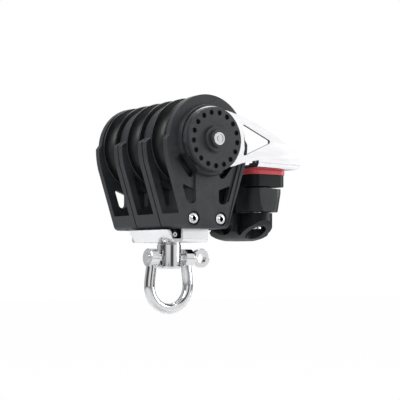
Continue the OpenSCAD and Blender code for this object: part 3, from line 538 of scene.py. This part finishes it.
# Camera at the photograph's angle, a pale floor, a white surround and three soft lamps.
camera_data = bpy.data.cameras.new("camera")
camera_data.sensor_width = 36.0
camera_data.lens = 99.658
camera_data.shift_x = -0.0015
camera = bpy.data.objects.new("camera", camera_data)
camera.location = (-0.40606536, -0.61503145, 0.02792239)
camera.rotation_euler = (math.radians(93.17784), math.radians(-0.30224), math.radians(-35.06791))
bpy.context.scene.collection.objects.link(camera)
bpy.context.scene.camera = camera
bpy.context.scene.view_settings.view_transform = "Standard"

bpy.ops.object.select_all(action="DESELECT")
bpy.ops.mesh.primitive_plane_add(size=6.0, location=(0.0, 0.0, -0.12))
floor = bpy.context.active_object
floor.name = "floor"
paper = bpy.data.materials.new("white_paper")
paper.use_nodes = True
tree = paper.node_tree
tree.nodes["Principled BSDF"].inputs["Base Color"].default_value = (0.70, 0.70, 0.70, 1.0)
tree.nodes["Principled BSDF"].inputs["Roughness"].default_value = 0.9
glow = tree.nodes.new("ShaderNodeEmission")
glow.inputs["Color"].default_value = (1.0, 1.0, 1.0, 1.0)
seen = tree.nodes.new("ShaderNodeLightPath")
share = tree.nodes.new("ShaderNodeMath")
share.operation = "MULTIPLY"
share.inputs[1].default_value = 0.985
blend = tree.nodes.new("ShaderNodeMixShader")
tree.links.new(seen.outputs["Is Camera Ray"], share.inputs[0])
tree.links.new(share.outputs[0], blend.inputs[0])
tree.links.new(tree.nodes["Principled BSDF"].outputs[0], blend.inputs[1])
tree.links.new(glow.outputs[0], blend.inputs[2])
tree.links.new(blend.outputs[0], tree.nodes["Material Output"].inputs["Surface"])
floor.data.materials.append(paper)

world = bpy.data.worlds.new("surround")
bpy.context.scene.world = world
world.use_nodes = True
tree = world.node_tree
ambient = tree.nodes["Background"]
ambient.inputs["Color"].default_value = (0.9, 0.93, 1.0, 1.0)
ambient.inputs["Strength"].default_value = 0.38
white = tree.nodes.new("ShaderNodeBackground")
white.inputs["Color"].default_value = (1.0, 1.0, 1.0, 1.0)
white.inputs["Strength"].default_value = 1.0
room = tree.nodes.new("ShaderNodeBackground")
direction = tree.nodes.new("ShaderNodeTexCoord")
parts = tree.nodes.new("ShaderNodeSeparateXYZ")
azimuth = tree.nodes.new("ShaderNodeMath")
azimuth.operation = "ARCTAN2"
turns = tree.nodes.new("ShaderNodeMath")
turns.operation = "MULTIPLY_ADD"
turns.inputs[1].default_value = 0.5 / math.pi
turns.inputs[2].default_value = 0.5
screens = tree.nodes.new("ShaderNodeValToRGB")
stops = ((0.00, 0.08), (0.05, 0.10), (0.09, 0.80), (0.12, 0.95), (0.18, 0.95), (0.21, 0.10), (0.26, 0.06),
         (0.295, 0.85), (0.32, 1.0), (0.375, 1.0), (0.41, 0.06), (0.57, 0.10), (0.62, 0.80), (0.70, 0.80),
         (0.75, 0.12), (0.80, 0.62), (0.88, 0.62), (0.93, 0.10))
while len(screens.color_ramp.elements) < len(stops):
    screens.color_ramp.elements.new(0.5)
for element, (position, grey) in zip(screens.color_ramp.elements, stops):
    element.position = position
    element.color = (grey, grey, grey, 1.0)
tree.links.new(direction.outputs["Generated"], parts.inputs[0])
tree.links.new(parts.outputs["Y"], azimuth.inputs[0])
tree.links.new(parts.outputs["X"], azimuth.inputs[1])
tree.links.new(azimuth.outputs[0], turns.inputs[0])
tree.links.new(turns.outputs[0], screens.inputs[0])
tree.links.new(screens.outputs[0], room.inputs["Color"])
seen = tree.nodes.new("ShaderNodeLightPath")
blend = tree.nodes.new("ShaderNodeMixShader")
behind = tree.nodes.new("ShaderNodeMixShader")
tree.links.new(seen.outputs["Is Glossy Ray"], blend.inputs[0])
tree.links.new(ambient.outputs[0], blend.inputs[1])
tree.links.new(room.outputs[0], blend.inputs[2])
tree.links.new(seen.outputs["Is Camera Ray"], behind.inputs[0])
tree.links.new(blend.outputs[0], behind.inputs[1])
tree.links.new(white.outputs[0], behind.inputs[2])
tree.links.new(behind.outputs[0], tree.nodes["World Output"].inputs["Surface"])


def softbox(name, place, target, width, height, power):
    data = bpy.data.lights.new(name, "AREA")
    data.shape = "RECTANGLE"
    data.size = width
    data.size_y = height
    data.energy = power
    lamp = bpy.data.objects.new(name, data)
    lamp.location = place
    lamp.rotation_euler = (Vector(target) - Vector(place)).to_track_quat("-Z", "Y").to_euler()
    bpy.context.scene.collection.objects.link(lamp)


softbox("lamp_upper_left", (-0.9, -0.3, 0.8), (0, 0, 0.08), 0.7, 0.7, 8.0)
softbox("lamp_right", (1.0, -0.5, 0.4), (0, 0, 0.08), 0.5, 0.8, 9.0)
softbox("lamp_top", (0.1, 0.3, 1.1), (0, 0, 0.08), 0.8, 0.5, 12.0)
